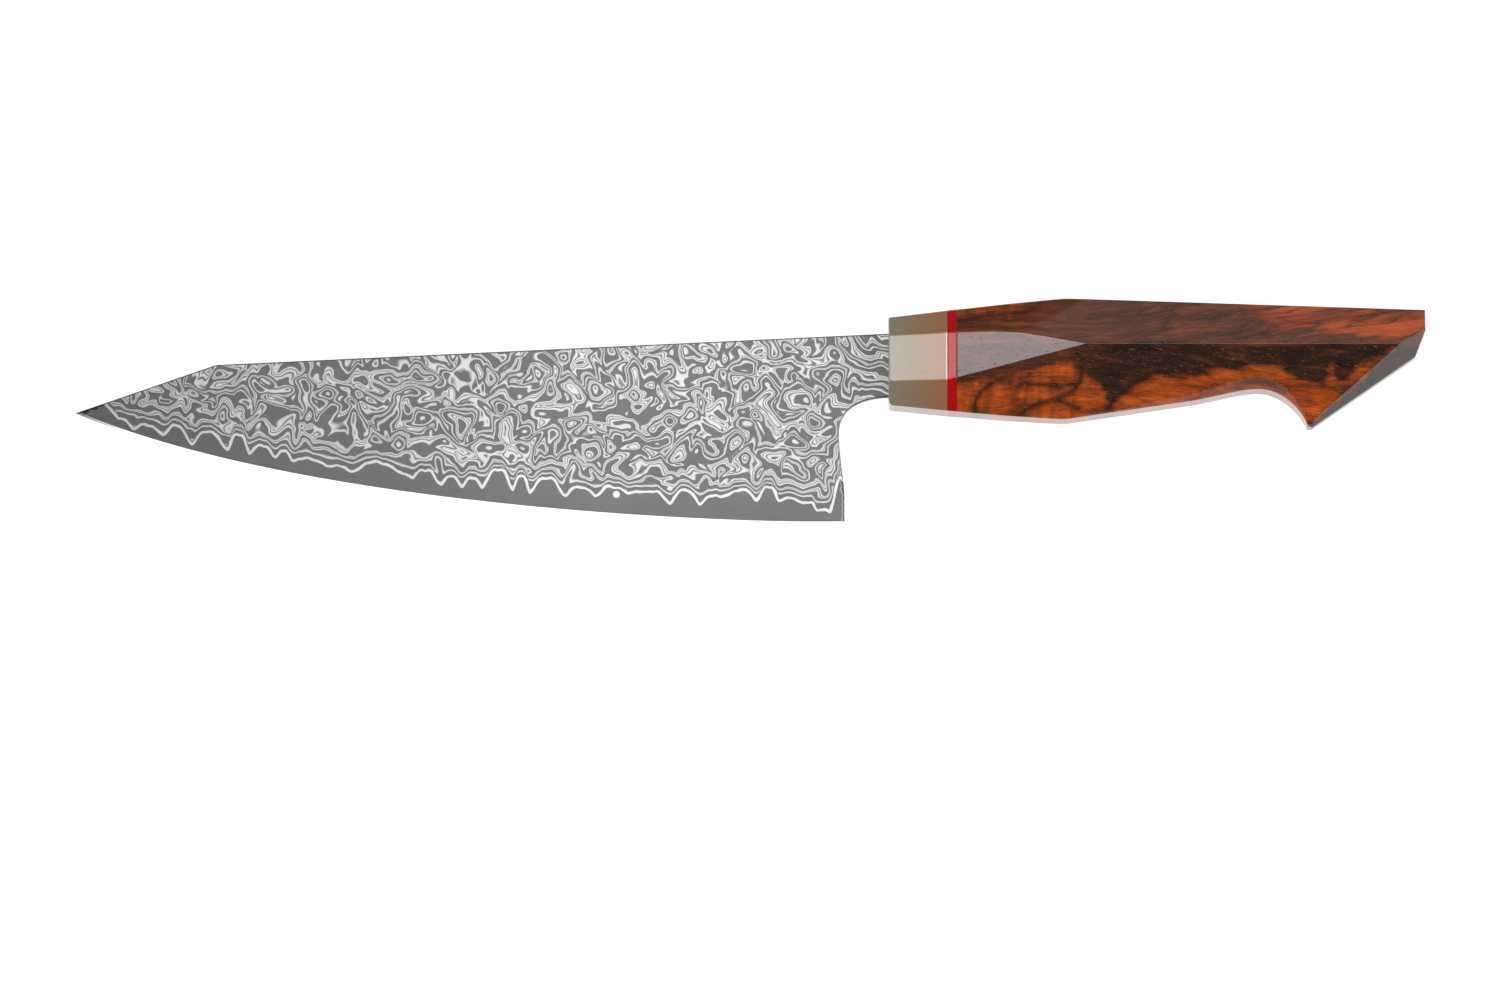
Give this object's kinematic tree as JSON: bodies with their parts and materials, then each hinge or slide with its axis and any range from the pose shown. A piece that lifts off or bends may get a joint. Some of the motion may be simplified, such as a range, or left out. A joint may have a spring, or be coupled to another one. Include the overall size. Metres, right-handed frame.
{
  "type": "chef knife",
  "caption": "Kiritsuke-tipped chef knife with a patterned layered-steel blade, a horn ferrule, a red spacer and a faceted wooden handle ending in a beak.",
  "frame": {"origin": "middle of the footprint of the knife lying on its right side, on the surface it lies on", "axes": "+X from the tip to the butt, +Y from the cutting edge to the spine, +Z out of the blade's left face; the blade's mid-plane is parallel to XY at half the handle's thickness"},
  "size_m": [0.3686, 0.0614, 0.0236],
  "materials": {
    "core_steel": "satin, finely brushed, ground bright at the cutting edge",
    "layered_steel": "etched light and dark contour pattern, satin",
    "horn": "polished horn, grey at the front turning tan at the back",
    "spacer": "polished red",
    "handle_wood": "polished figured wood, orange-brown with near-black veins",
    "dowel_wood": "plain turned hardwood",
    "bedding_resin": "cured epoxy"
  },
  "bodies": {
    "root": {"core_steel": "core_steel", "cladding_right": "layered_steel", "cladding_left": "layered_steel", "horn_ferrule": "horn", "red_spacer": "spacer", "handle_body": "handle_wood", "tang_dowel": "dowel_wood", "tang_bedding": "bedding_resin"}
  },
  "joints": []
}
